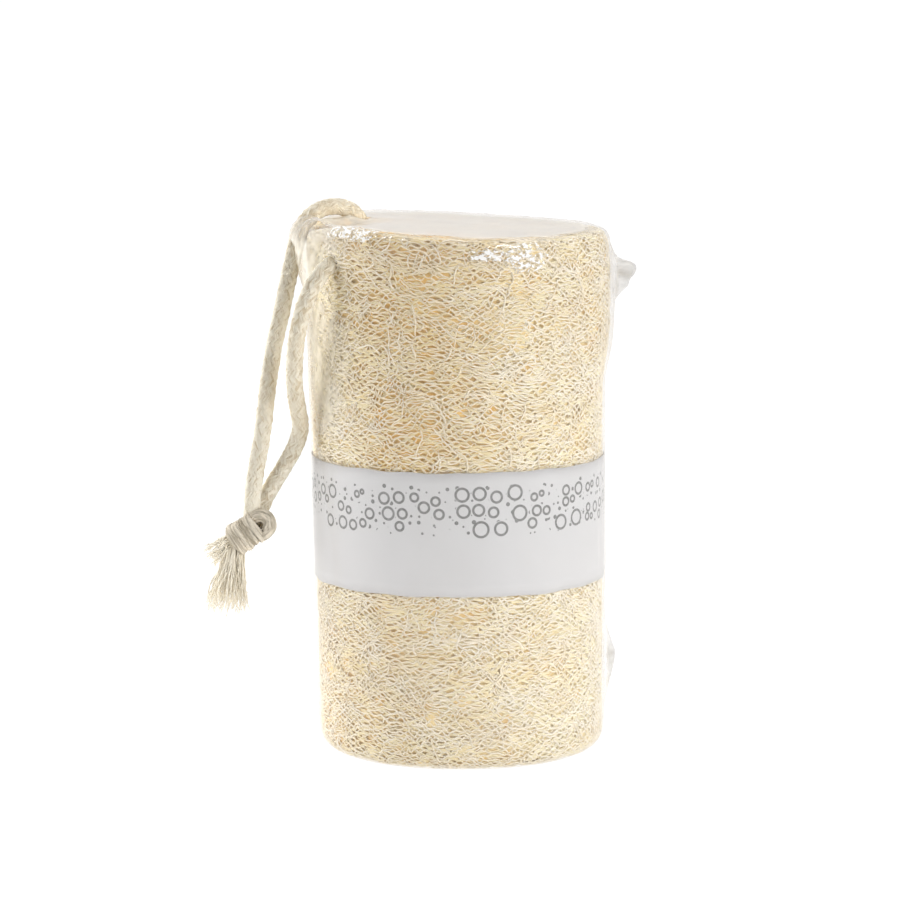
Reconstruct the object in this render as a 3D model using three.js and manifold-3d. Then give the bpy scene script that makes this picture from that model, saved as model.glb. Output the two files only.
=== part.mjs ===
// Natural loofah sponge on a cord, with a paper band and shrink film.
// Millimetres, +Z up, base on z = 0, middle of the base at the origin, front towards -Y.
import * as THREE from "three";
import { mergeVertices } from "three/addons/utils/BufferGeometryUtils.js";
import Module from "manifold-3d";

const wasm = await Module();
wasm.setup();

// Driving dimensions
const HEIGHT = 140;
const RADIUS_BASE = 37.3;
const RADIUS_TOP = 38.6;
const ROUND_BASE = 6;
const ROUND_TOP = 3.5;
const LEAN = 2.1;
const SIDES = 64;

const FILM = 0.25;
const FILM_OUT = 1.0;
const FILM_IN = FILM_OUT - FILM;
const BAND_OUT = 0.5;
const BAND_IN = 0.25;
const BAND_LOW = 47.2;
const BAND_HIGH = 79.6;

const CORD = 4.8;
const CLEAR = 0.3;

const CHANNEL = 5.4;
const CHANNEL_RING = 16.5;
const CHANNEL_COUNT = 3;

// Cord centreline: knot, rim, top hole, tunnel, side hole, knot
const ROUTE = [
  [-55.3, -13.5, 64.6], [-55.1, -13.3, 70.8], [-54.3, -12.7, 76.0], [-53.3, -12.0, 81.3],
  [-52.4, -11.4, 86.6], [-51.3, -10.2, 97.2], [-50.0, -9.0, 107.7], [-48.0, -7.5, 118.2],
  [-46.6, -6.2, 126.0], [-45.6, -5.0, 131.8], [-44.6, -3.2, 137.2], [-42.3, -0.8, 141.9],
  [-38.5, 1.6, 144.5], [-33.4, 4.2, 145.2], [-28.9, 6.9, 143.2], [-26.6, 8.6, 139.0],
  [-26.3, 7.6, 134.4], [-27.2, 3.0, 131.2], [-28.6, -4.0, 130.2], [-30.2, -11.5, 130.8],
  [-32.2, -18.6, 132.0], [-35.2, -23.8, 131.0], [-38.5, -26.0, 126.8], [-41.1, -25.4, 120.4],
  [-42.8, -23.2, 113.4], [-43.6, -20.6, 106.0], [-43.7, -18.0, 99.6], [-43.0, -15.4, 93.4],
  [-42.4, -13.2, 88.2], [-43.7, -11.4, 83.2], [-46.5, -10.0, 77.8], [-49.9, -9.1, 72.2],
  [-52.2, -8.8, 68.0], [-53.4, -8.7, 64.8],
];
const ROUTE_STEPS = 76;

const KNOT_AT = [-56.4, -11.2, 60.2];
const KNOT_HALF = [7.2, 6.0, 5.2];
const KNOT_TURN = -0.6;

const LONG_TAIL = { from: [-60.2, -11.2, 57.0], to: [-62.4, -11.2, 39.6], radii: [2.0, 2.4, 4.4, 3.6] };
const SHORT_TAIL = { from: [-61.0, -11.6, 58.4], to: [-68.2, -12.0, 54.6], radii: [1.4, 1.8, 2.4, 1.6] };

// Gathered film on the right, outlines in x and z
const EAR_THICK = 0.7;
const EAR_TOP = [
  [30, 136], [38.0, 135.6], [40.2, 131.4], [41.6, 130.0], [44.6, 130.6], [45.3, 128.6],
  [44.2, 125.2], [41.4, 121.6], [40.6, 116.5], [39.4, 108.0], [37.6, 101.0], [30, 101],
];
const EAR_BASE = [
  [30, 36], [37.8, 35.6], [39.6, 30.0], [41.2, 25.6], [41.0, 22.4], [39.8, 17.0], [37.6, 12.6], [30, 12],
];

// Solids to and from meshes
function toSolid(source) {
  const plain = source.index ? source.toNonIndexed() : source.clone();
  plain.deleteAttribute("normal");
  plain.deleteAttribute("uv");
  const joined = mergeVertices(plain, 1e-4);
  return new wasm.Manifold(new wasm.Mesh({
    numProp: 3,
    vertProperties: new Float32Array(joined.attributes.position.array),
    triVerts: new Uint32Array(joined.index.array),
  }));
}

function toGeometry(solid) {
  const mesh = solid.getMesh();
  const made = new THREE.BufferGeometry();
  made.setAttribute("position", new THREE.BufferAttribute(new Float32Array(mesh.vertProperties), 3));
  made.setIndex(new THREE.BufferAttribute(new Uint32Array(mesh.triVerts), 1));
  made.computeVertexNormals();
  return made;
}

// Closed body of the sponge's outline, grown outwards by a distance
function body(grow) {
  const base = FILM_OUT - grow;
  const top = HEIGHT - FILM_OUT + grow;
  const rings = [];
  const arcs = 6;
  for (let i = 0; i <= arcs; i++) {
    const a = (i / arcs) * (Math.PI / 2);
    const r = ROUND_BASE + grow;
    rings.push([RADIUS_BASE - ROUND_BASE + r * Math.sin(a), base + r * (1 - Math.cos(a))]);
  }
  for (let i = 0; i <= arcs; i++) {
    const a = (i / arcs) * (Math.PI / 2);
    const r = ROUND_TOP + grow;
    rings.push([RADIUS_TOP - ROUND_TOP + r * Math.cos(a), top - r * (1 - Math.sin(a))]);
  }
  const points = [0, 0, base];
  for (const [r, z] of rings) {
    for (let k = 0; k < SIDES; k++) {
      const t = (k / SIDES) * 2 * Math.PI;
      const round = 1 + 0.004 * Math.cos(2 * t - 0.8) + 0.003 * Math.cos(3 * t + 1.1);
      points.push(r * round * Math.cos(t) - LEAN * (z / HEIGHT), r * round * Math.sin(t), z);
    }
  }
  points.push(-LEAN * (top / HEIGHT), 0, top);
  const faces = [];
  const last = 1 + rings.length * SIDES;
  for (let k = 0; k < SIDES; k++) {
    const n = (k + 1) % SIDES;
    faces.push(0, 1 + n, 1 + k);
    for (let j = 0; j + 1 < rings.length; j++) {
      const a = 1 + j * SIDES;
      const b = a + SIDES;
      faces.push(a + k, a + n, b + n, a + k, b + n, b + k);
    }
    faces.push(last - SIDES + k, last - SIDES + n, last);
  }
  const made = new THREE.BufferGeometry();
  made.setAttribute("position", new THREE.Float32BufferAttribute(points, 3));
  made.setIndex(faces);
  return toSolid(made);
}

// Round cord of a radius along the route, with its ends carried on by a distance
function cordTube(radius, past) {
  const sides = 10;
  const ring = [];
  for (let k = 0; k < sides; k++) {
    const t = (k / sides) * 2 * Math.PI;
    ring.push(new THREE.Vector2(radius * Math.cos(t), radius * Math.sin(t)));
  }
  const points = ROUTE.map((p) => new THREE.Vector3(...p));
  for (const [end, inner] of [[0, 1], [ROUTE.length - 1, ROUTE.length - 2]]) {
    const out = points[end].clone().sub(points[inner]).setLength(past);
    points[end].add(out);
  }
  const path = new THREE.CatmullRomCurve3(points, false, "centripetal");
  const tube = new THREE.ExtrudeGeometry(new THREE.Shape(ring), {
    steps: ROUTE_STEPS, extrudePath: path, bevelEnabled: false,
  });
  return toSolid(tube);
}

// Ellipsoid of the knot, grown by a distance
function knotBody(grow) {
  const ball = new THREE.SphereGeometry(1, 24, 16);
  ball.scale(KNOT_HALF[0] + grow, KNOT_HALF[1] + grow, KNOT_HALF[2] + grow);
  ball.rotateY(KNOT_TURN);
  ball.translate(...KNOT_AT);
  return toSolid(ball);
}

// Soft bundle of loose yarn ends, narrow at the knot
function tailBody({ from, to, radii }, grow) {
  const start = new THREE.Vector3(...from);
  const end = new THREE.Vector3(...to);
  const long = start.distanceTo(end);
  const [r0, r1, r2, r3] = radii.map((r) => r + grow);
  const outline = [[0, 0], [r0, 0], [r1, 0.3 * long], [r2, 0.9 * long], [r3, long + grow], [0, long + grow]];
  const made = new THREE.LatheGeometry(outline.map(([r, y]) => new THREE.Vector2(r, y)), 16);
  const turn = new THREE.Quaternion().setFromUnitVectors(
    new THREE.Vector3(0, 1, 0), end.clone().sub(start).normalize());
  made.applyQuaternion(turn);
  made.translate(start.x, start.y, start.z);
  return toSolid(made);
}

// Thin upright plate of gathered film
function ear(outline) {
  const shape = new THREE.Shape(outline.map(([x, z]) => new THREE.Vector2(x, z)));
  const plate = new THREE.ExtrudeGeometry(shape, { depth: EAR_THICK, bevelEnabled: false });
  plate.rotateX(Math.PI / 2);
  plate.translate(0, EAR_THICK / 2, 0);
  return toSolid(plate);
}

// Slab of space between two heights
function slab(low, high) {
  const box = new THREE.BoxGeometry(200, 200, high - low);
  box.translate(0, 0, (low + high) / 2);
  return toSolid(box);
}

const cord = cordTube(CORD / 2, 0);
const tunnel = cordTube(CORD / 2 + CLEAR, CLEAR);

// Sponge with the cord's tunnel and the three seed channels
let sponge = body(0).subtract(tunnel);
for (let i = 0; i < CHANNEL_COUNT; i++) {
  const a = Math.PI / 2 + (i / CHANNEL_COUNT) * 2 * Math.PI;
  const bore = new THREE.CylinderGeometry(CHANNEL, CHANNEL, 2 * HEIGHT, 20);
  bore.rotateX(Math.PI / 2);
  bore.translate(CHANNEL_RING * Math.cos(a) - LEAN / 2, CHANNEL_RING * Math.sin(a), HEIGHT / 2);
  sponge = sponge.subtract(toSolid(bore));
}

const band = body(BAND_OUT).subtract(body(BAND_IN)).intersect(slab(BAND_LOW, BAND_HIGH));
const film = body(FILM_OUT).add(ear(EAR_TOP)).add(ear(EAR_BASE)).subtract(body(FILM_IN)).subtract(tunnel);

const knot = knotBody(0).subtract(tunnel);
const longTail = tailBody(LONG_TAIL, 0).subtract(knotBody(CLEAR));
const shortTail = tailBody(SHORT_TAIL, 0).subtract(knotBody(CLEAR)).subtract(tailBody(LONG_TAIL, CLEAR));

// Materials
const fibre = new THREE.MeshStandardMaterial({ color: 0xe6d3a6, roughness: 0.85, metalness: 0 });
const cotton = new THREE.MeshStandardMaterial({ color: 0xd9ccb0, roughness: 0.9, metalness: 0 });
const paper = new THREE.MeshStandardMaterial({ color: 0xeceaea, roughness: 0.7, metalness: 0 });
const clear = new THREE.MeshStandardMaterial({ color: 0xf2f2f2, roughness: 0.15, metalness: 0 });

const part = new THREE.Group();
part.name = "loofah_with_cord";
function node(name, solid, material) {
  const mesh = new THREE.Mesh(toGeometry(solid), material);
  mesh.name = name;
  part.add(mesh);
}
node("loofah_sponge", sponge, fibre);
node("hanging_cord", cord, cotton);
node("cord_knot", knot, cotton);
node("cord_tail_long", longTail, cotton);
node("cord_tail_short", shortTail, cotton);
node("paper_band", band, paper);
node("shrink_film", film, clear);

export default part;
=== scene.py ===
# %% [markdown]
# # A natural loofah on a cotton cord
# The object is a dried loofah gourd, cut square at both ends, with a soft cord to hang it by,
# a paper band round its middle and a clear shrunk film over sponge and band.
# The CAD model fixes every size and place. This lesson builds the looks round it, piece by piece,
# as numpy surfaces: grids of two parameters, and profiles carried along paths.

# %% Load the frame
import math
from functools import partial

import bpy
import numpy as np
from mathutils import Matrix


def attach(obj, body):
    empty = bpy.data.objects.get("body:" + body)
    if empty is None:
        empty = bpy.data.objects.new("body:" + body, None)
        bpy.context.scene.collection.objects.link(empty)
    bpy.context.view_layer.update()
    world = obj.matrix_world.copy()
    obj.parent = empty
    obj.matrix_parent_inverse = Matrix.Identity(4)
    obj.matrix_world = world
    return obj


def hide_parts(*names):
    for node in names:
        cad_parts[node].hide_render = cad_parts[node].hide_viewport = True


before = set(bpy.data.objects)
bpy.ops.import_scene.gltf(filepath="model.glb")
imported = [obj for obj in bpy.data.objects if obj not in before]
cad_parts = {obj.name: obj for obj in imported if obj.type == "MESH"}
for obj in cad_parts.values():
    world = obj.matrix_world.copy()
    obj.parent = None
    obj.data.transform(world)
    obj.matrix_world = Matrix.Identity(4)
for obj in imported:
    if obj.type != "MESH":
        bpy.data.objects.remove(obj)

MM = 0.001
scene = bpy.context.scene
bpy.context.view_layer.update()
print("CAD nodes:", sorted(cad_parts))

# %% [markdown]
# ## Camera
# The photograph looks slightly down on the sponge from about a metre away with a long lens.
# The height, distance and tilt were fitted to the ellipses of the top, the band and the base,
# so the outlines of the render fall on those of the photograph.

# %% Camera
CAMERA_AT = (-0.0032, -1.1025, 0.2398)
CAMERA_TILT = math.radians(90.0 - 8.24)
CAMERA_LENS = 167.8

camera = bpy.data.objects.new("camera", bpy.data.cameras.new("camera"))
camera.location = CAMERA_AT
camera.rotation_euler = (CAMERA_TILT, 0.0, 0.0)
camera.data.sensor_width = 36.0
camera.data.lens = CAMERA_LENS
camera.data.clip_end = 20.0
scene.collection.objects.link(camera)
scene.camera = camera
print("camera height in metres:", CAMERA_AT[2])

# %% [markdown]
# ## Studio
# The background is a plain white sweep. Light comes from a large soft box at the front right, one on the left
# and one overhead, and little from the camera's side, so the front left of the sponge is the darkest part.
# The world is brighter behind than in front.
# The floor glows a little, as a lit white table does, so only a faint shadow shows under the sponge.

# %% World and floor
BACK_GLOW = 1.0
FRONT_GLOW = 0.05
FLOOR_NEAR = 1.30
FLOOR_UNDER = 0.62
FLOOR_FAR = 0.34
FLOOR_REACH = 0.45
FLOOR_SEEN = 0.93


def add_node(tree, kind, **settings):
    """Adds a node; each setting is an attribute of the node, or the value of the input of that name."""
    made = tree.nodes.new(kind)
    for name, value in settings.items():
        label = name.replace("_", " ")
        if label in made.inputs:
            made.inputs[label].default_value = value
        else:
            setattr(made, name, value)
    return made


def feed(tree, socket, value):
    """Links a socket to an input, or sets the input to a number or colour."""
    if isinstance(value, bpy.types.NodeSocket):
        tree.links.new(value, socket)
    else:
        socket.default_value = (*value, 1) if isinstance(value, tuple) else value


def maths(tree, operation, *values, clamp=False):
    """Output of a math node on sockets or numbers."""
    made = add_node(tree, "ShaderNodeMath", operation=operation, use_clamp=clamp)
    for socket, value in zip(made.inputs, values):
        feed(tree, socket, value)
    return made.outputs[0]


def blend(tree, share, first, second):
    """Output of a colour mix: first where share is 0 and second where it is 1; each is a socket or a colour."""
    made = add_node(tree, "ShaderNodeMix", data_type="RGBA")
    for name, value in (("Factor", share), ("A", first), ("B", second)):
        feed(tree, made.inputs[name], value)
    return made.outputs["Result"]


def ranged(tree, value, **settings):
    """Output of a map range node on a socket."""
    made = add_node(tree, "ShaderNodeMapRange", **settings)
    tree.links.new(value, made.inputs["Value"])
    return made.outputs["Result"]


def new_material(name):
    """A material with nodes, its node tree and its Principled shader."""
    material = bpy.data.materials.new(name)
    material.use_nodes = True
    return material, material.node_tree, material.node_tree.nodes["Principled BSDF"]


def make_world():
    """White for the camera; for light, a glow that rises from the front to the back of the scene."""
    world = bpy.data.worlds.new("studio")
    world.use_nodes = True
    tree = world.node_tree
    tree.nodes.clear()
    link = tree.links.new
    place = add_node(tree, "ShaderNodeTexCoord")
    split = add_node(tree, "ShaderNodeSeparateXYZ")
    link(place.outputs["Generated"], split.inputs[0])
    glow = ranged(tree, split.outputs["Y"], interpolation_type="SMOOTHSTEP", From_Min=-0.9, From_Max=0.5,
                  To_Min=FRONT_GLOW, To_Max=BACK_GLOW)
    path = add_node(tree, "ShaderNodeLightPath")
    lit = add_node(tree, "ShaderNodeBackground")
    seen = add_node(tree, "ShaderNodeBackground", Color=(1, 1, 1, 1), Strength=1.0)
    mix = add_node(tree, "ShaderNodeMixShader")
    out = add_node(tree, "ShaderNodeOutputWorld")
    link(glow, lit.inputs["Strength"])
    link(path.outputs["Is Camera Ray"], mix.inputs["Fac"])
    link(lit.outputs[0], mix.inputs[1])
    link(seen.outputs[0], mix.inputs[2])
    link(mix.outputs[0], out.inputs["Surface"])
    return world


def make_floor(half):
    """One large square on z = 0: white for the camera and in mirrors; for light, a glow that goes
    smoothly from near to far over the reach, as on a lit table, and is weak under the sponge."""
    mesh = bpy.data.meshes.new("floor")
    corners = [(-half, -half, 0), (half, -half, 0), (half, half, 0), (-half, half, 0)]
    mesh.from_pydata(corners, [], [(0, 1, 2, 3)])
    material, tree, body = new_material("white_floor")
    body.inputs["Base Color"].default_value = (0.22, 0.22, 0.22, 1)
    body.inputs["Roughness"].default_value = 1.0
    body.inputs["Specular IOR Level"].default_value = 0.0
    body.inputs["Emission Color"].default_value = (1, 1, 1, 1)
    place = add_node(tree, "ShaderNodeTexCoord")
    away = add_node(tree, "ShaderNodeVectorMath", operation="LENGTH")
    tree.links.new(place.outputs["Object"], away.inputs[0])
    far = away.outputs["Value"]
    share = ranged(tree, far, interpolation_type="SMOOTHERSTEP", From_Max=FLOOR_REACH,
                   To_Min=FLOOR_NEAR, To_Max=FLOOR_FAR)
    shadow = ranged(tree, far, interpolation_type="SMOOTHSTEP", From_Min=0.035, From_Max=0.12,
                    To_Min=FLOOR_UNDER)
    path = add_node(tree, "ShaderNodeLightPath")
    looked = maths(tree, "MAXIMUM", path.outputs["Is Camera Ray"], path.outputs["Is Glossy Ray"])
    glow = add_node(tree, "ShaderNodeMix", data_type="FLOAT")
    feed(tree, glow.inputs["Factor"], looked)
    feed(tree, glow.inputs["A"], maths(tree, "MULTIPLY", share, shadow))
    feed(tree, glow.inputs["B"], FLOOR_SEEN)
    tree.links.new(glow.outputs["Result"], body.inputs["Emission Strength"])
    mesh.materials.append(material)
    floor = bpy.data.objects.new("floor", mesh)
    scene.collection.objects.link(floor)
    return floor


scene.world = make_world()
make_floor(6.0)
scene.view_settings.view_transform = "Standard"
scene.view_settings.look = "None"
print("view transform:", scene.view_settings.view_transform)

# %% Soft boxes
SOFT_BOXES = {
    "right_box": dict(at=(0.63, -0.61, 0.36), size=(0.62, 0.6), power=5.0, seen="diffuse"),
    "left_box": dict(at=(-0.88, 0.04, 0.34), size=(0.80, 0.70), power=6.3, seen="diffuse"),
    "top_box": dict(at=(0.0, 0.20, 1.10), size=(0.8, 0.8), power=4.3, seen="diffuse"),
    "right_glint": dict(at=(0.58, -0.66, 0.66), size=(0.45, 0.34), power=14.0, seen="glossy"),
    "left_glint": dict(at=(-0.66, -0.22, 0.84), size=(0.26, 0.26), power=5.5, seen="glossy"),
}
LIGHT_AIM = np.array([0.0, 0.0, 0.075])


def make_soft_box(name, at, size, power, seen):
    """A rectangular lamp at a point, turned so that it looks at the middle of the sponge.
    The large ones light the surfaces; the small glossy ones only show as glints in the film."""
    lamp = bpy.data.lights.new(name, "AREA")
    lamp.shape = "RECTANGLE"
    lamp.size, lamp.size_y = size
    lamp.energy = power
    box = bpy.data.objects.new(name, lamp)
    box.location = at
    way = LIGHT_AIM - np.array(at)
    flat = math.hypot(way[0], way[1])
    box.rotation_euler = (math.atan2(flat, -way[2]), 0.0, math.atan2(way[1], way[0]) - math.pi / 2)
    box.visible_glossy = seen == "glossy"
    box.visible_diffuse = seen == "diffuse"
    box.visible_camera = False
    scene.collection.objects.link(box)


for box_name, box_values in SOFT_BOXES.items():
    make_soft_box(box_name, **box_values)
print("soft boxes:", len(SOFT_BOXES))

# %% [markdown]
# ## The skin of the sponge
# Everything on the sponge is placed on one surface, close to the CAD outline: from the middle of the base,
# round the lower edge, up the wall, round the upper edge and in to the middle of the top.
# `run` is the length along that outline, `turn` the angle round the axis, with the camera at -90 degrees,
# and `out` the distance along the surface's own normal. The fibres, the band and the film all use it.

# %% Skin
HEIGHT = 140.0
RADIUS_BASE = 37.5
RADIUS_TOP = 39.0
ROUND_BASE = 5.0
ROUND_TOP = 2.0
LEAN = 2.1
ASKEW = 2.2
BULGE = 0.050
CORD_TURN = math.radians(184.0)
CLEARANCE = 1.0


def outline_table():
    """Rows r, z, normal r, normal z of the half outline: flat base, quarter circle, wall, quarter circle,
    flat top."""
    arc = np.linspace(0.0, np.pi / 2, 24)
    low, high = CLEARANCE, HEIGHT - CLEARANCE
    foot = [RADIUS_BASE - ROUND_BASE * (1 - np.sin(arc)), low + ROUND_BASE * (1 - np.cos(arc)),
            np.sin(arc), -np.cos(arc)]
    head = [RADIUS_TOP - ROUND_TOP * (1 - np.cos(arc)), high - ROUND_TOP * (1 - np.sin(arc)),
            np.cos(arc), np.sin(arc)]
    start = np.array([[0.0], [low], [0.0], [-1.0]])
    end = np.array([[0.0], [high], [0.0], [1.0]])
    return np.concatenate([start, np.array(foot), np.array(head), end], axis=1)


OUTLINE = outline_table()
RUN = np.concatenate([[0.0], np.cumsum(np.hypot(np.diff(OUTLINE[0]), np.diff(OUTLINE[1])))])
RUN_FOOT = RADIUS_BASE - ROUND_BASE
RUN_HEAD = RUN[-1] - (RADIUS_TOP - ROUND_TOP)
RUN_WALL = RUN_FOOT + ROUND_BASE * np.pi / 2


def turned(angle):
    """Angle brought between minus pi and pi."""
    return np.angle(np.exp(1j * angle))


def near_turn(turn, at, wide):
    """1 at an angle round the axis, falling off smoothly to either side."""
    return np.exp(-(turned(turn - at) / wide) ** 2)


def askew(points):
    """Raises points towards the upper left, because the upper cut is not quite level: up to ASKEW mm,
    times how far left and how high they are, less at the rim where the cord presses on it."""
    x, y, z = np.moveaxis(points, -1, 0)
    turn = np.arctan2(y, x + LEAN)
    pressed = near_turn(turn, CORD_TURN, 0.32) * ease(np.hypot(x + LEAN, y), 14, 30)
    raised = ASKEW * ease(-x, -20, 39) * ease(z, 95, 139) * (1 - pressed)
    return np.stack([x, y, z + raised], axis=-1)


def skin(turn, run, out):
    """Point in mm: outline at `run` plus `out` times its normal, swung by `turn`, out of round, leaning,
    bulging a little high up on the right, its upper cut askew."""
    r = np.interp(run, RUN, OUTLINE[0]) + out * np.interp(run, RUN, OUTLINE[2])
    z = np.interp(run, RUN, OUTLINE[1]) + out * np.interp(run, RUN, OUTLINE[3])
    bulge = BULGE * bump(z, 121.0, 23.0) * near_turn(turn, 0.0, 0.60)
    r = r * (1 + bulge + 0.004 * np.cos(2 * turn - 0.8) + 0.003 * np.cos(3 * turn + 1.1))
    return askew(np.stack([r * np.cos(turn) - LEAN * z / HEIGHT, r * np.sin(turn), z + 0 * turn], axis=-1))


def skin_normal(turn, run):
    """Unit normal of the skin: the outline's normal swung by `turn`."""
    flat, up = np.interp(run, RUN, OUTLINE[2]), np.interp(run, RUN, OUTLINE[3])
    return np.stack([flat * np.cos(turn), flat * np.sin(turn), up + 0 * turn], axis=-1)


def run_at_height(z):
    """Length along the outline of the wall's point at height z."""
    return RUN_WALL + (np.asarray(z) - CLEARANCE - ROUND_BASE)


print("outline length in mm:", round(float(RUN[-1]), 1))

# %% Meshes from arrays
BAKE_MAP = "OFBake"
RIDGE = np.array([[-1.1, -0.30], [0.0, 0.60], [1.1, -0.30]])
YARN = np.array([[-1.0, -0.60], [0.0, 0.90], [1.0, -0.60]])


def make_piece(name, points, faces, maps, material, values=None):
    """A mesh object from arrays: points in mm, faces as a list of index arrays of one width each,
    maps as a list of matching (face, corner, 2) arrays, and values as named numbers for each point."""
    mesh = bpy.data.meshes.new(name)
    corners = np.concatenate([f.reshape(-1) for f in faces]).astype(np.int32)
    widths = np.concatenate([np.full(len(f), f.shape[1]) for f in faces])
    starts = np.concatenate([[0], np.cumsum(widths)[:-1]]).astype(np.int32)
    mesh.vertices.add(len(points))
    mesh.vertices.foreach_set("co", (np.asarray(points) * MM).astype(np.float32).reshape(-1))
    mesh.loops.add(len(corners))
    mesh.loops.foreach_set("vertex_index", corners)
    mesh.polygons.add(len(starts))
    mesh.polygons.foreach_set("loop_start", starts)
    mesh.update(calc_edges=True)
    layer = mesh.uv_layers.new(name=BAKE_MAP)
    flat = np.concatenate([m.reshape(-1, 2) for m in maps]).astype(np.float32)
    layer.data.foreach_set("uv", flat.reshape(-1))
    for label, numbers in (values or {}).items():
        spot = mesh.attributes.new(label, "FLOAT", "POINT")
        spot.data.foreach_set("value", np.asarray(numbers, np.float32).reshape(-1))
    mesh.shade_smooth()
    mesh.validate()
    mesh.materials.append(material)
    piece = bpy.data.objects.new(name, mesh)
    scene.collection.objects.link(piece)
    print(f"{name}: {int((widths - 2).sum())} triangles")
    return piece


def unit(vectors):
    """Vectors scaled to length one along the last axis."""
    return vectors / np.maximum(np.linalg.norm(vectors, axis=-1, keepdims=True), 1e-9)


def circle(sides):
    """Corners of a regular polygon as (side, up) pairs, starting at the top."""
    angle = 2 * np.pi * np.arange(sides) / sides
    return np.stack([np.sin(angle), np.cos(angle)], axis=1)


def threads(paths, facing, radius, profile, across):
    """Threads as arrays. Each path, a row of points, carries the profile, whose up is along `facing`.
    A circle closes on itself and gets end caps; a ridge is open below, where nobody sees it.
    Each thread has its own strip in the map, `across` strips side by side."""
    count, steps = paths.shape[:2]
    corners = len(profile)
    closed = corners > len(RIDGE)
    walls = corners if closed else corners - 1
    along = unit(np.gradient(paths, axis=1))
    side = unit(np.cross(along, facing))
    up = np.cross(side, along)
    swing = profile[:, :1] * side[:, :, None] + profile[:, 1:] * up[:, :, None]
    points = paths[:, :, None] + np.broadcast_to(radius, (count, steps))[:, :, None, None] * swing
    index = np.arange(count * steps * corners).reshape(count, steps, corners)
    following = np.roll(index, -1, axis=2)
    quads = np.stack([index[:, :-1], following[:, :-1], following[:, 1:], index[:, 1:]], axis=-1)
    quads = quads[:, :, :walls].reshape(-1, 4)
    rows = -(-count // across)
    column, row = np.arange(count) % across, np.arange(count) // across
    shape = (count, steps - 1, walls)
    left = np.broadcast_to((np.arange(steps - 1) / steps)[None, :, None], shape)
    low = np.broadcast_to((np.arange(walls) / (walls + 1))[None, None, :], shape)
    right, high = left + 1 / steps, low + 1 / (walls + 1)
    uv = np.stack([np.stack([left, left, right, right], -1), np.stack([low, high, high, low], -1)], -1)
    uv[..., 0] = (uv[..., 0] + column[:, None, None, None]) / across
    uv[..., 1] = (uv[..., 1] + row[:, None, None, None]) / rows
    if not closed:
        return points.reshape(-1, 3), [quads], [uv.reshape(-1, 4, 2)]
    caps = np.concatenate([index[:, 0, ::-1], index[:, -1]])
    still = np.zeros((1, corners))
    cap_uv = np.stack([(column[:, None] + 0.5 + still) / across, (row[:, None] + 0.1 + still) / rows], -1)
    return points.reshape(-1, 3), [quads, caps], [uv.reshape(-1, 4, 2), np.concatenate([cap_uv, cap_uv])]


def joined(parts):
    """Several (points, faces, maps) made into one: faces are counted on, and each part's map gets
    a band of the square as tall as its share of the faces."""
    shares = np.array([sum(len(f) for f in faces) for _, faces, _ in parts], float)
    tops = np.concatenate([[0], np.cumsum(shares) / shares.sum()])
    points, faces, maps, first = [], [], [], 0
    for number, (part_points, part_faces, part_maps) in enumerate(parts):
        points.append(part_points)
        faces += [f + first for f in part_faces]
        squeeze = np.array([1.0, tops[number + 1] - tops[number]])
        maps += [m * squeeze + np.array([0.0, tops[number]]) for m in part_maps]
        first += len(part_points)
    return np.concatenate(points), faces, maps


def waves(rng, rows, columns, low, high, size):
    """Random waves that close on themselves: each row adds every whole number of waves from low to high,
    with random strength and phase, scaled so that its usual height is `size`."""
    spectrum = np.zeros((rows, columns // 2 + 1), complex)
    spread = rng.normal(size=(2, rows, high - low + 1))
    spectrum[:, low:high + 1] = spread[0] + 1j * spread[1]
    made = np.fft.irfft(spectrum, columns, axis=1)
    return size * made / made.std()


def hills(rng, rows, columns, down, around, size):
    """Smooth random hills over a grid: white noise whose waves fade past `down` by `around` waves."""
    spectrum = np.fft.rfft2(rng.normal(size=(rows, columns)))
    tall = np.fft.fftfreq(rows) * rows
    wide = np.arange(columns // 2 + 1)
    spectrum *= np.exp(-(tall[:, None] / down) ** 2 - (wide[None] / around) ** 2)
    made = np.fft.irfft2(spectrum, (rows, columns))
    return size * (made - made.mean()) / made.std()


def bump(x, middle, half):
    """Smooth bump: 1 at the middle, falling to 0 at `half` away on either side."""
    near = np.clip(1 - ((x - middle) / half) ** 2, 0, 1)
    return near * near * (3 - 2 * near)


def ease(x, start, end):
    """Smooth step from 0 at start to 1 at end."""
    t = np.clip((x - start) / (end - start), 0, 1)
    return t * t * (3 - 2 * t)

# %% [markdown]
# ## Finishes
# Loofah fibre and cotton are both dry plant fibre, so they share one node group: each thread carries its own
# tone, a number on the mesh, and fine noise along it makes lighter and darker stretches.
# The group puts out a colour and a height. The shaders stay in each material. Many tones also carry painted
# light and shade, set where the pieces are made.

# %% Plant fibre group


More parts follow.
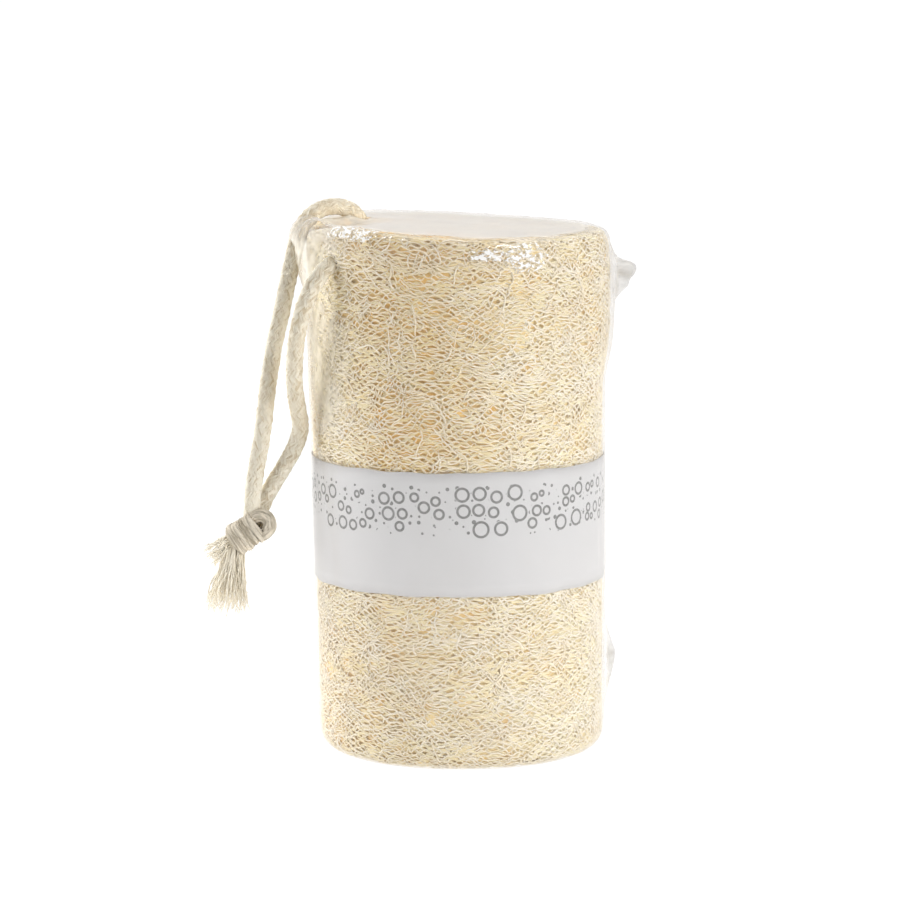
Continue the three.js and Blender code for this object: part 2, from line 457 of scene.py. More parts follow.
def plant_fibre_group():
    """Colour from dark to light by the thread's tone plus noise, and a fine height for a bump."""
    group = bpy.data.node_groups.new("plant_fibre", "ShaderNodeTree")
    for label in ("Light", "Dark", "Warm"):
        group.interface.new_socket(name=label, in_out="INPUT", socket_type="NodeSocketColor")
    for label in ("Scale", "Mottle"):
        group.interface.new_socket(name=label, in_out="INPUT", socket_type="NodeSocketFloat")
    group.interface.new_socket(name="Color", in_out="OUTPUT", socket_type="NodeSocketColor")
    group.interface.new_socket(name="Height", in_out="OUTPUT", socket_type="NodeSocketFloat")
    link = group.links.new
    given = add_node(group, "NodeGroupInput").outputs
    out = add_node(group, "NodeGroupOutput").inputs
    place = add_node(group, "ShaderNodeTexCoord")
    tone = add_node(group, "ShaderNodeAttribute", attribute_name="tone")
    fine = add_node(group, "ShaderNodeTexNoise", Detail=3.0, Roughness=0.6)
    broad = add_node(group, "ShaderNodeTexNoise", Scale=70.0, Detail=2.0)
    for noise in (fine, broad):
        link(place.outputs["Object"], noise.inputs["Vector"])
    link(given["Scale"], fine.inputs["Scale"])
    push = maths(group, "MULTIPLY", maths(group, "SUBTRACT", fine.outputs["Fac"], 0.5), given["Mottle"])
    total = maths(group, "ADD", tone.outputs["Fac"], push, clamp=True)
    shade = blend(group, total, given["Dark"], given["Light"])
    patch = ranged(group, broad.outputs["Fac"], clamp=True, From_Min=0.45, From_Max=0.75, To_Max=0.45)
    link(blend(group, patch, shade, given["Warm"]), out["Color"])
    link(fine.outputs["Fac"], out["Height"])
    return group


PLANT_FIBRE = plant_fibre_group()
print("group inputs:", [s.name for s in PLANT_FIBRE.interface.items_tree if s.in_out == "INPUT"])

# %% Fibre and cotton materials
FINISHES = {
    "loofah_outer": dict(light=(0.98, 0.90, 0.75), dark=(0.92, 0.77, 0.51), warm=(0.94, 0.80, 0.55),
                         scale=900.0, mottle=0.5, rough=0.6, relief=0.15, sheen=0.0),
    # The inner and deep finishes are darker and more orange than the outer one: painted shade among the deeper
    # threads.
    "loofah_inner": dict(light=(0.95, 0.86, 0.60), dark=(0.88, 0.69, 0.34), warm=(0.90, 0.72, 0.38),
                         scale=900.0, mottle=0.6, rough=0.7, relief=0.2, sheen=0.0),
    "loofah_deep": dict(light=(0.94, 0.83, 0.50), dark=(0.92, 0.57, 0.15), warm=(0.90, 0.56, 0.16),
                        scale=700.0, mottle=0.9, rough=0.8, relief=0.4, sheen=0.0),
    "cotton": dict(light=(1.0, 0.94, 0.80), dark=(0.72, 0.61, 0.43), warm=(0.92, 0.81, 0.62),
                   scale=1300.0, mottle=0.9, rough=0.9, relief=0.35, sheen=0.15),
    # The tails' finish has light darks: painted light in the shade between the loose yarns.
    "cotton_tail_painted_light": dict(light=(0.97, 0.92, 0.81), dark=(0.93, 0.84, 0.66), warm=(0.95, 0.87, 0.70),
                        scale=1500.0, mottle=0.6, rough=0.9, relief=0.3, sheen=0.15),
    # The knot's finish is darker than the cord's: painted shade in the tight knot.
    "cotton_knot_painted_shade": dict(light=(0.90, 0.82, 0.69), dark=(0.46, 0.40, 0.30), warm=(0.74, 0.66, 0.52),
                        scale=1300.0, mottle=0.8, rough=0.9, relief=0.35, sheen=0.15),
}


def fibre_material(name, light, dark, warm, scale, mottle, rough, relief, sheen):
    """Principled shader with the plant fibre group for its colour and bump."""
    material, tree, body = new_material(name)
    fibre = add_node(tree, "ShaderNodeGroup", node_tree=PLANT_FIBRE)
    for label, colour in (("Light", light), ("Dark", dark), ("Warm", warm)):
        fibre.inputs[label].default_value = (*colour, 1)
    fibre.inputs["Scale"].default_value = scale
    fibre.inputs["Mottle"].default_value = mottle
    lift = add_node(tree, "ShaderNodeBump", Strength=relief, Distance=0.0001)
    body.inputs["Roughness"].default_value = rough
    body.inputs["Specular IOR Level"].default_value = 0.3
    body.inputs["Sheen Weight"].default_value = sheen
    tree.links.new(fibre.outputs["Color"], body.inputs["Base Color"])
    tree.links.new(fibre.outputs["Height"], lift.inputs["Height"])
    tree.links.new(lift.outputs["Normal"], body.inputs["Normal"])
    return material


MATERIALS = {name: fibre_material(name, **values) for name, values in FINISHES.items()}
print("materials:", sorted(MATERIALS))

# %% [markdown]
# ## The hanging cord
# A soft braided cotton cord. It leaves the sponge at the top, arches over the rim and hangs down the left
# side; its other end leaves the side under the rim. Both run into one knot. A braid is two families of strands
# that wind opposite ways and pass over and under each other, so each strand is a helix whose radius waves.
# The two visible stretches are two pieces, each carried along its part of one route, close to the CAD's.

# %% Cord route
ROUTE = np.array([
    [-55.5, -9.6, 61.2], [-55.1, -11.9, 69.6], [-54.3, -12.3, 76.0], [-53.3, -12.0, 81.3],
    [-52.4, -11.4, 86.6], [-51.2, -10.2, 97.2], [-49.6, -9.0, 107.7], [-47.3, -7.5, 118.2],
    [-45.7, -6.2, 126.0], [-44.5, -5.0, 131.6], [-43.3, -3.2, 136.6], [-41.2, -0.8, 141.0],
    [-37.8, 1.6, 143.8], [-33.2, 4.2, 144.6], [-28.9, 6.9, 142.8], [-26.6, 8.6, 139.0],
    [-26.3, 7.6, 134.4], [-27.2, 3.0, 131.2], [-28.6, -4.0, 130.2], [-30.2, -11.5, 130.8],
    [-32.2, -18.6, 132.0], [-35.2, -23.8, 131.0], [-38.5, -26.0, 126.8], [-41.1, -25.4, 120.4],
    [-42.8, -23.2, 113.4], [-43.6, -20.6, 106.0], [-43.7, -18.0, 99.6], [-43.0, -15.4, 93.4],
    [-42.4, -13.2, 88.2], [-43.7, -11.4, 83.2], [-46.5, -10.0, 77.8], [-49.9, -9.1, 72.2],
    [-52.2, -9.0, 68.0], [-54.4, -9.6, 61.4],
])
TOP_POINT = 16
SIDE_POINT = 19


def smooth_route(points, step):
    """Centripetal Catmull-Rom curve through the points, as points `step` mm apart along it."""
    ends = np.stack([2 * points[0] - points[1], 2 * points[-1] - points[-2]])
    full = np.concatenate([ends[:1], points, ends[1:]])
    knot = np.concatenate([[0], np.cumsum(np.sqrt(np.linalg.norm(np.diff(full, axis=0), axis=1)))])
    t = np.linspace(knot[1], knot[-2], 40 * len(points))
    i = np.clip(np.searchsorted(knot, t, side="right") - 1, 1, len(full) - 3)

    def lerp(a, b, k0, k1):
        """Straight blend of a and b as t goes from k0 to k1."""
        w = ((t - k0) / (k1 - k0))[:, None]
        return (1 - w) * a + w * b

    p = [full[i + k] for k in (-1, 0, 1, 2)]
    k = [knot[i + j] for j in (-1, 0, 1, 2)]
    a = [lerp(p[j], p[j + 1], k[j], k[j + 1]) for j in range(3)]
    b = [lerp(a[j], a[j + 1], k[j], k[j + 2]) for j in range(2)]
    curve = lerp(b[0], b[1], k[1], k[2])
    length = np.concatenate([[0], np.cumsum(np.linalg.norm(np.diff(curve, axis=0), axis=1))])
    at = np.linspace(0, length[-1], int(length[-1] / step) + 1)
    return np.stack([np.interp(at, length, curve[:, c]) for c in range(3)], axis=1)


def tightest_bend(path):
    """Smallest radius of the circle through points a few steps apart."""
    a, b, c = path[:-8], path[4:-4], path[8:]
    area = np.linalg.norm(np.cross(b - a, c - a), axis=1)
    sides = [np.linalg.norm(x - y, axis=1) for x, y in ((a, b), (b, c), (c, a))]
    return float((sides[0] * sides[1] * sides[2] / np.maximum(2 * area, 1e-9)).min())


CORD_STEP = 0.5
OVER_PATH = smooth_route(ROUTE[:TOP_POINT + 1][::-1], CORD_STEP)
SIDE_PATH = smooth_route(ROUTE[SIDE_POINT:], CORD_STEP)
for label, path in (("over the rim", OVER_PATH), ("from the side", SIDE_PATH)):
    print(label, "length mm", round(len(path) * CORD_STEP, 1),
          "tightest bend mm", round(tightest_bend(path), 1))

# %% Braid
PLAITS = 6
YARNS = 4
BRAID_PITCH = 22.0
BRAID_MIDDLE = 1.92
BRAID_CORE = 1.80
BRAID_WAVE = 0.15
YARN_RADIUS = 0.24
YARN_GAP = 0.24
FUZZ = 300


def carried(path, facing, reach, corners):
    """A plain round core along a path, as threads of one."""
    return threads(path[None], np.broadcast_to(facing, path.shape)[None], reach, circle(corners), 1)


def fuzz(path, side, up, rng):
    """Fine loose hairs on the cord: each runs a few mm along it at a slant and lifts off at its ends."""
    steps = 7
    first = rng.uniform(2, len(path) - 14, size=(FUZZ, 1))
    at = first + np.linspace(0, 1, steps) * rng.uniform(4, 11, size=(FUZZ, 1))
    slant = np.linspace(0, 0.9, steps)
    angle = rng.uniform(0, 2 * np.pi, size=(FUZZ, 1)) + rng.normal(size=(FUZZ, 1)) * slant
    lift = BRAID_MIDDLE + 0.20 + rng.uniform(0, 0.30, size=(FUZZ, 1)) * np.linspace(-1, 1, steps) ** 2
    spots = np.arange(len(path))
    near = [np.stack([np.interp(at, spots, a[:, c]) for c in range(3)], -1) for a in (path, side, up)]
    swing = np.cos(angle)[..., None] * near[2] + np.sin(angle)[..., None] * near[1]
    made = threads(near[0] + lift[..., None] * swing, swing, 0.06, RIDGE, 6)
    return made, np.repeat(rng.uniform(0.5, 1.0, size=FUZZ), steps * 3)


def braid(path, facing, seed, shade):
    """Braided cord round a path. Strand angle = plus or minus 2 pi s / pitch + its start; its distance from
    the path = middle plus or minus wave times cos(2 PLAITS pi s / pitch), so one family goes over where the
    other goes under."""
    rng = np.random.default_rng(seed)
    s = np.arange(len(path)) * CORD_STEP
    along = unit(np.gradient(path, axis=0))
    side = unit(np.cross(along, facing))
    up = np.cross(side, along)
    plait, yarn, way = [g.reshape(-1, 1) for g in np.meshgrid(
        np.arange(PLAITS), np.arange(YARNS) - (YARNS - 1) / 2, (1, -1), indexing="ij")]
    count = len(way)
    loose = waves(rng, count, len(s) * 2, 6, 50, 1.0)[:, :len(s)]
    angle = way * (2 * np.pi * s / BRAID_PITCH + YARN_GAP * yarn) + 2 * np.pi * plait / PLAITS + 0.05 * loose
    over = way * np.cos(2 * PLAITS * np.pi * s / BRAID_PITCH)
    reach = BRAID_MIDDLE - 0.03 * yarn ** 2 + BRAID_WAVE * over + 0.05 * np.roll(loose, 7, axis=1)
    swing = np.cos(angle)[..., None] * up + np.sin(angle)[..., None] * side
    paths = path + reach[..., None] * swing
    radius = YARN_RADIUS * (1 + 0.10 * np.roll(loose, 19, axis=1))
    outer = threads(paths, swing, radius, YARN, 1)
    # Painted light and shade: the tone runs from shade's first to its last value along the path, and yarns are
    # painted lighter where they go over and darker where they go under; the rest is random.
    tone = np.interp(s, [24.0, 42.0], shade) + 0.20 * over + 0.30 * rng.normal(size=(count, 1)) + 0.28 * loose
    core = carried(path, facing, BRAID_CORE, 12)
    hairs, hair_tone = fuzz(path, side, up, rng)
    # The core is painted dark, a painted shade in the gaps between the yarns.
    tones = [np.repeat(tone.reshape(-1), 3), np.full(len(core[0]), 0.15), hair_tone]
    return joined([outer, core, hairs]), np.concatenate(tones)


def cord_piece(name, path, facing, seed, shade):
    """One braided stretch of the cord as a piece; shade is painted light and shade: the usual tone of its
    yarns, first and last.
    """
    (points, faces, maps), tone = braid(path, facing, seed, shade)
    piece = make_piece(name, points, faces, maps, MATERIALS["cotton"], {"tone": tone})
    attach(piece, "root")
    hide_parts("hanging_cord")
    return piece


# Painted light: the strand that hangs down the left is painted lighter and the arc over the rim darker; the
# stretch from the side is painted a little darker than that strand.
cord_over_rim = cord_piece("cord_over_rim", OVER_PATH, np.array([0.0, 1.0, 0.0]), 11, (0.38, 0.98))
cord_from_side = cord_piece("cord_from_side", SIDE_PATH, np.array([1.0, 0.0, 0.0]), 12, (0.56, 0.66))

# %% [markdown]
# ## The knot
# Both ends of the cord are tied in one tight overhand knot. Its cord is squeezed, so its yarns lie side
# by side.
# The shape is bundles of yarns carried along paths: two strands of a coil that wraps round the slanting axis
# of the knot, and a bight that loops out of it at the upper right.

# %% Knot
KNOT_AT = np.array([-56.3, -11.2, 60.0])
KNOT_AXIS = unit(np.array([-0.80, 0.0, -0.58]))
KNOT_UP = unit(np.array([-0.58, 0.0, 0.80]))
KNOT_FRONT = np.array([0.0, -1.0, 0.0])


def coil_path(steps, shift):
    """Two turns round the axis of the knot, drifting along it and slanting to it, tucked in at both ends.
    The two strands lie side by side, so each is shifted along the axis by half the drift of a turn."""
    t = np.linspace(0, 1, steps)
    angle = 2 * np.pi * 1.95 * t - 1.1
    reach = 2.95 * ease(t, -0.10, 0.14) * (1 - 0.25 * ease(t, 0.84, 1.0)) + 0.25 * np.sin(3 * angle + shift)
    drift = -3.5 + 3.7 * 1.95 * t + 0.7 * np.cos(angle) + shift
    ring = np.cos(angle)[:, None] * KNOT_UP + np.sin(angle)[:, None] * KNOT_FRONT
    return KNOT_AT + drift[:, None] * KNOT_AXIS + reach[:, None] * ring


def bight_path(steps):
    """A loop in the plane of the axis: out of the coil to the upper right, round, and back in below."""
    t = np.linspace(0, 1, steps)
    angle = np.pi * (-0.24 + 1.69 * t)
    middle = KNOT_AT - 3.6 * KNOT_AXIS + 0.4 * KNOT_FRONT
    ring = -np.sin(angle)[:, None] * KNOT_AXIS * 2.8 + np.cos(angle)[:, None] * KNOT_UP * 2.5
    return middle + ring + (1.9 * np.sin(np.pi * t))[:, None] * KNOT_FRONT


def bundle(path, facing, reach, yarns, radius, twist, seed):
    """Yarns side by side round a path and its core: each keeps its own angle, which turns slowly along it."""
    rng = np.random.default_rng(seed)
    along = unit(np.gradient(path, axis=0))
    side = unit(np.cross(along, facing))
    up = np.cross(side, along)
    start = 2 * np.pi * np.arange(yarns)[:, None] / yarns
    t = np.linspace(0, 1, len(path))
    loose = waves(rng, yarns, 2 * len(path), 2, 12, 1.0)[:, :len(path)]
    angle = start + twist * t + 0.06 * loose
    swing = np.cos(angle)[..., None] * up + np.sin(angle)[..., None] * side
    paths = path + (reach + 0.07 * np.roll(loose, 5, axis=1))[..., None] * swing
    outer = threads(paths, swing, radius * (1 + 0.12 * loose), YARN, 1)
    core = carried(path, facing, reach - 0.14, 10)
    tone = 0.52 + 0.24 * rng.normal(size=(yarns, 1)) + 0.24 * loose
    # The core's tone is 0, the darkest: a painted shade in the gaps between the yarns.
    return joined([outer, core]), np.concatenate([np.repeat(tone.reshape(-1), 3), np.full(len(core[0]), 0.0)])


def knot_piece():
    """Two strands of the coil and the bight joined into the knot."""
    made = []
    for number, shift in enumerate((0.0, 1.85)):
        coil = coil_path(110, shift)
        away = coil - KNOT_AT - ((coil - KNOT_AT) @ KNOT_AXIS)[:, None] * KNOT_AXIS
        made.append(bundle(coil, away, 1.30, 16, 0.24, 1.6, 21 + number))
    bight = bight_path(80)
    made.append(bundle(bight, np.broadcast_to(KNOT_FRONT, bight.shape), 1.62, 22, 0.235, 1.2, 23))
    points, faces, maps = joined([m for m, _ in made])
    tone = np.concatenate([n for _, n in made])
    piece = make_piece("tied_knot", points, faces, maps, MATERIALS["cotton_knot_painted_shade"], {"tone": tone})
    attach(piece, "root")
    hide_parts("cord_knot")
    return piece


tied_knot = knot_piece()

# %% [markdown]
# ## The frayed ends
# Below the knot the cord is undone into loose yarns, one long tail that hangs down and one short tuft to the
# left. Each yarn is a thin wavy thread that starts in the knot and splays towards its end, with finer hairs
# among them.

# %% Frayed ends


def fray(seed, count, start, way, long, root, splay, droop, radius, wave):
    """Loose yarns: point = start + way * length * t + (root + splay * t^1.5) * place in the bunch
    - droop * t^2 upwards, plus waves that grow along the yarn."""
    rng = np.random.default_rng(seed)
    steps = 22
    t = np.linspace(0, 1, steps)
    disc = rng.normal(size=(count, 3))
    disc = disc - (disc @ way)[:, None] * way
    disc = disc / np.maximum(np.linalg.norm(disc, axis=1, keepdims=True), 1.0)
    reach = long * rng.uniform(0.80, 1.04, size=(count, 1, 1))
    wander = np.stack([waves(rng, count, 2 * steps, 1, 4, 1.0)[:, :steps] for _ in range(3)], axis=-1)
    spread = (root + splay * t ** 1.5)[None, :, None]
    paths = (start + way * reach * t[None, :, None] + spread * disc[:, None]
             + np.array([0, 0, -droop]) * (t ** 2)[None, :, None]
             + wave * wander * (t * (1.2 - 0.2 * t))[None, :, None])
    thick = radius * rng.uniform(0.7, 1.25, size=(count, 1)) * (1 - 0.55 * t ** 3)
    facing = np.broadcast_to(np.array([0.3, -0.9, 0.2]), paths.shape)
    made = threads(paths, facing, thick, circle(4), 8)
    # Painted shade: each yarn is darker near the knot, where the yarns are bunched, and lighter towards its
    # loose end; the rest is random.
    tone = 0.58 + 0.12 * rng.normal(size=(count, 1)) + 0.2 * t
    return made, np.repeat(tone.reshape(-1), 4)


def tail_piece(name, node, bunches):
    """Bunches of loose yarns joined into one piece."""
    made = [fray(**values) for values in bunches]
    points, faces, maps = joined([m for m, _ in made])
    tone = np.concatenate([n for _, n in made])
    piece = make_piece(name, points, faces, maps, MATERIALS["cotton_tail_painted_light"], {"tone": tone})
    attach(piece, "root")
    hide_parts(node)
    return piece


DOWN = unit(np.array([-0.15, 0.0, -1.0]))
LEFT = unit(np.array([-0.80, -0.08, -0.50]))
long_tail = tail_piece("long_tail", "cord_tail_long", [
    dict(seed=31, count=124, start=np.array([-59.6, -11.2, 58.0]), way=DOWN, long=18.8, root=2.1, splay=2.9,
         droop=0.0, radius=0.21, wave=0.55),
    dict(seed=32, count=70, start=np.array([-59.8, -11.2, 57.0]), way=DOWN, long=19.2, root=2.0, splay=3.2,
         droop=0.0, radius=0.10, wave=0.7),
])
short_tail = tail_piece("short_tail", "cord_tail_short", [
    dict(seed=33, count=44, start=np.array([-59.8, -11.6, 58.6]), way=LEFT, long=8.0, root=1.6, splay=0.9,
         droop=1.2, radius=0.22, wave=0.35),
    dict(seed=34, count=50, start=np.array([-59.8, -11.6, 58.6]), way=LEFT, long=8.6, root=1.4, splay=1.4,
         droop=1.0, radius=0.08, wave=0.5),
])

# %% [markdown]
# ## The loofah
# A loofah is the dried vein network of a gourd: thin stiff threads that run round the fruit in wavy lines,
# split, touch and cross, and leave lens-shaped gaps through which darker threads show.
# It could be a bumpy cylinder with a pattern, but its edge and its gaps would look painted on.
# So the threads are real: rows of wavy threads round the wall at two depths, where the random waves make
# neighbours touch and part, shorter threads that cross them, and others in the two cut ends.

# %% Threads round the wall
ROWS = 204
COLUMNS = 450
CELLS = 80
ROW_LOW, ROW_HIGH = RUN_FOOT - 4.0, RUN_HEAD + 3.0
INNER_ROWS = 160
INNER_COLUMNS = 236
INNER_CELLS = 60
PIT_ROWS, PIT_COLUMNS = 300, 600
PITS = ease(hills(np.random.default_rng(40), PIT_ROWS, PIT_COLUMNS, 52, 70, 1.0), 0.8, 2.0)


def pit_at(turn, run):
    """How open the net is at a place, 0 to 1: hills over the wall of which only the tops count."""
    row = np.clip((run - ROW_LOW) / (ROW_HIGH - ROW_LOW) * PIT_ROWS, 0, PIT_ROWS - 1).astype(int)
    column = np.floor(turn / (2 * np.pi) * PIT_COLUMNS).astype(int) % PIT_COLUMNS
    return PITS[row, column]


def painted_light_and_shade(turn, run):
    """Painted light and shade on the fibre's tone: lighter low down, on the right and at the upper left, where
    more light falls, and darker on the front left, which gets the least light."""
    # Painted shade on the front left, painted light low down, on the right and at the upper left.
    painted_front_shade = 0.26 * near_turn(turn, -1.80, 0.42)
    low = ease(run, RUN_WALL + 70, RUN_WALL + 15)
    left = 0.74 * near_turn(turn, -2.68, 0.40) * (1 - low)
    return 0.24 * low + 0.52 * np.cos(0.5 * (turn + 0.4)) ** 4 - painted_front_shade * (1 - 0.6 * low) + left


def net_rows(seed, rows, columns, cells, swing, sunk):
    """Run of every row of the net: an even ladder, bent by smooth hills, plus swing times a flattened wave.
    Neighbouring rows wave opposite ways, so they touch and part and leave lens-shaped gaps; the waves'
    phase and height wander over the net, so no two gaps are the same. Where the net is open, its gaps are
    taller and it is sunk by so many mm, and its tone is painted darker there, a painted shade."""
    rng = np.random.default_rng(seed)
    turn = np.linspace(0, 2 * np.pi, columns, endpoint=False)
    ladder = np.linspace(ROW_LOW, ROW_HIGH, rows)[:, None]
    opposite = np.where(np.arange(rows) % 2, 1.0, -1.0)[:, None]
    phase = (cells * turn + hills(rng, rows, columns, 26, 24, 1.8) + hills(rng, rows, columns, 70, 80, 0.7)
             + 0.3 * rng.normal(size=(rows, 1)))
    pit = pit_at(turn, ladder)
    height = swing * (1 + hills(rng, rows, columns, 50, 50, 0.42) + 0.9 * pit)
    run = (ladder + hills(rng, rows, columns, 5, 7, 0.9) + hills(rng, rows, columns, 24, 18, 0.34)
           + opposite * height * np.tanh(1.5 * np.cos(phase))
           + waves(rng, rows, columns, 20, columns // 4, 0.07))
    out = (hills(rng, rows, columns, 30, 40, 0.11) + waves(rng, rows, columns, 20, columns // 4, 0.06)
           - sunk * pit)
    # Tone: random, plus painted light and shade over the wall, minus a painted shade where the net is open and
    # sunk.
    tone = (0.36 + 0.10 * rng.normal(size=(rows, 1)) + hills(rng, rows, columns, 30, 40, 0.16)
            + painted_light_and_shade(turn, ladder) - 0.8 * sunk * pit)
    thick = 1 + waves(rng, rows, columns, 6, columns // 5, 0.24) + 0.12 * rng.normal(size=(rows, 1))
    return run, out, tone, thick


def net_piece(name, net, part, depth, radius, material):
    """A share of the net's rows as ridged threads that go right round at a depth below the skin."""
    run, out, tone, thick = [np.concatenate([a[part], a[part, :1]], axis=1) for a in net]
    turn = np.broadcast_to(np.linspace(0, 2 * np.pi, run.shape[1]), run.shape)
    paths = skin(turn, run, np.minimum(out, 0.15) - depth)
    made = threads(paths, skin_normal(turn, run), radius * thick, RIDGE, 1)
    return make_piece(name, *made, MATERIALS[material], {"tone": np.repeat(tone.reshape(-1), len(RIDGE))})


OUTER_NET = net_rows(41, ROWS, COLUMNS, CELLS, 0.38, 0.0)
INNER_NET = net_rows(46, INNER_ROWS, INNER_COLUMNS, INNER_CELLS, 0.42, 0.6)
loofah = [net_piece("loofah_net_lower", OUTER_NET, slice(0, ROWS // 2), 0.20, 0.155, "loofah_outer"),
          net_piece("loofah_net_upper", OUTER_NET, slice(ROWS // 2, ROWS), 0.20, 0.155, "loofah_outer"),
          net_piece("loofah_net_inner", INNER_NET, slice(0, INNER_ROWS), 0.42, 0.27, "loofah_inner")]

# %% Threads that cross
CROSS_COUNT = 1700
CROSS_STEPS = 11


def crossing_threads(seed):
    """Short threads on the wall: a heading that wanders from its start, summed into a path, that comes up
    from below the rows, lies over them and goes down again."""
    rng = np.random.default_rng(seed)
    length = rng.uniform(2.0, 11.0, size=(CROSS_COUNT, 1))
    step = length / (CROSS_STEPS - 1)
    heading = rng.choice([-1, 1], size=(CROSS_COUNT, 1)) * rng.uniform(0.3, 1.7, size=(CROSS_COUNT, 1))
    heading = heading + np.cumsum(rng.normal(size=(CROSS_COUNT, CROSS_STEPS)) * 0.34, axis=1)
    radius = 38.0
    start = rng.uniform(0, 2 * np.pi, size=(CROSS_COUNT, 1))
    turn = start + np.cumsum(np.cos(heading) * step, axis=1) / radius
    run = rng.uniform(ROW_LOW, ROW_HIGH, size=(CROSS_COUNT, 1)) + np.cumsum(np.sin(heading) * step, axis=1)
    t = np.linspace(0, 1, CROSS_STEPS)
    deep = rng.uniform(0.5, 1.3, size=(CROSS_COUNT, 1))
    out = 0.05 - deep * (2 * t - 1) ** 4 - rng.uniform(0.0, 0.35, size=(CROSS_COUNT, 1))
    thick = rng.uniform(0.13, 0.22, size=(CROSS_COUNT, 1)) * (1 - 0.4 * (2 * t - 1) ** 4)
    tone = 0.70 + 0.18 * rng.normal(size=(CROSS_COUNT, 1)) + 0 * t
    made = threads(skin(turn, run, out), skin_normal(turn, run), thick, RIDGE, 20)
    return make_piece("loofah_threads_cross", *made, MATERIALS["loofah_outer"],
                      {"tone": np.repeat(tone.reshape(-1), len(RIDGE))})


loofah.append(crossing_threads(42))

# %% Threads of the cut ends
CHANNEL = 5.4
CHANNEL_RING = 16.5
CHANNEL_COUNT = 3
END_COUNT = 700
END_STEPS = 15


def channel_middles():
    """Middles of the three seed channels in x and y, as in the CAD sponge."""
    angle = np.pi / 2 + 2 * np.pi * np.arange(CHANNEL_COUNT) / CHANNEL_COUNT
    return np.stack([CHANNEL_RING * np.cos(angle) - LEAN / 2, CHANNEL_RING * np.sin(angle)], axis=1)


def pushed_out(flat):
    """Moves points that lie in a seed channel out to its edge, which thickens the edge as on a real cut."""
    for middle in channel_middles():
        off = flat - middle
        far = np.linalg.norm(off, axis=-1, keepdims=True)
        flat = middle + off * np.maximum(1.0, (CHANNEL + 0.3) / np.maximum(far, 1e-6))
    return flat


def end_threads(seed, height, upward, limit):
    """Threads in a cut end: they run round near the edge and every way in the middle, bend about,
    and lie at slightly different depths; the deeper ones are painted darker, a painted shade."""
    rng = np.random.default_rng(seed)
    away = limit * np.sqrt(rng.uniform(0, 1, size=(END_COUNT, 1)))
    around = rng.uniform(0, 2 * np.pi, size=(END_COUNT, 1))
    ringed = ease(away, 18, 27)
    heading = around + np.pi / 2 + rng.normal(size=(END_COUNT, 1)) * (2.2 - 1.75 * ringed)
    step = rng.uniform(0.5, 1.2, size=(END_COUNT, 1))
    curl = ringed * step / np.maximum(away, 10)
    heading = heading + np.cumsum(rng.normal(size=(END_COUNT, END_STEPS)) * 0.28 + curl, axis=1)
    x = away * np.cos(around) + np.cumsum(np.cos(heading) * step, axis=1)
    y = away * np.sin(around) + np.cumsum(np.sin(heading) * step, axis=1)
    flat = pushed_out(np.stack([x, y], axis=-1))
    far = np.linalg.norm(flat, axis=-1, keepdims=True)
    flat = flat * np.minimum(1.0, limit / np.maximum(far, 1e-6))
    deep = rng.uniform(0.0, 1.6, size=(END_COUNT, 1))
    deep = deep + waves(rng, END_COUNT, 2 * END_STEPS, 1, 5, 0.2)[:, :END_STEPS]
    z = height - upward * np.clip(deep, 0.0, 2.0)
    lean = -LEAN * height / HEIGHT
    paths = askew(np.concatenate([flat + np.array([lean, 0.0]), z[..., None]], axis=-1))
    thick = rng.uniform(0.15, 0.24, size=(END_COUNT, 1)) + np.zeros(END_STEPS)
    # Painted shade: the deeper a thread lies in the cut end, the darker its tone.
    tone = 0.66 - 0.22 * np.clip(deep, 0, 2) + 0.15 * rng.normal(size=(END_COUNT, 1))
    facing = np.broadcast_to(np.array([0.0, 0.0, float(upward)]), paths.shape)
    return threads(paths, facing, thick, RIDGE, 20), np.repeat(tone.reshape(-1), len(RIDGE))


def ends_piece():
    """Both cut ends as one piece."""
    top, top_tone = end_threads(43, HEIGHT - CLEARANCE - 0.2, 1, RADIUS_TOP - ROUND_TOP + 0.6)
    base, base_tone = end_threads(44, CLEARANCE + 0.2, -1, RADIUS_BASE - ROUND_BASE + 0.6)
    points, faces, maps = joined([top, base])
    return make_piece("loofah_threads_ends", points, faces, maps, MATERIALS["loofah_outer"],
                      {"tone": np.concatenate([top_tone, base_tone])})


loofah.append(ends_piece())

# %% [markdown]
# ## Behind the threads
# Between the threads one sees more threads, deeper in and darker. They are drawn as one closed body under
# the rows, with a lumpy surface and the three seed channels sunk into its ends, in a darker fibre finish
# whose pattern is stretched round the sponge as the threads are. That darkness is painted shade: the finish is
# darker than the outer threads', and the body is painted darker still where the net is open and in the
# channels.

# %% Deep body
DEEP_OUT = -1.00
CHANNEL_DEPTH = 16.0


def ring_faces(rows, columns):
    """Quads of a grid of rings that closes round, with its map, and the caps' triangles to two end points."""
    index = np.arange(rows * columns).reshape(rows, columns)
    here, there = index[:-1], index[1:]
    walls = np.stack([here, np.roll(here, -1, 1), np.roll(there, -1, 1), there], -1).reshape(-1, 4)
    u, v = np.meshgrid(np.arange(columns) / columns, np.arange(rows - 1) / rows)
    du, dv = 1 / columns, 1 / rows
    maps = np.stack([np.stack([u, u + du, u + du, u], -1), np.stack([v, v, v + dv, v + dv], -1)], -1)
    first, last = rows * columns, rows * columns + 1
    around = np.arange(columns)
    start = np.stack([np.full(columns, first), np.roll(around, -1), around], -1)
    finish = np.stack([index[-1], np.roll(index[-1], -1), np.full(columns, last)], -1)
    caps = np.concatenate([start, finish])
    edge = around / columns
    start_map = np.stack([np.stack([u, 0 * edge], -1) for u in (edge, edge + du, edge)], 1)
    finish_map = start_map + np.array([0.0, 1 - dv])
    return [walls, caps], [maps.reshape(-1, 4, 2), np.concatenate([start_map, finish_map])]


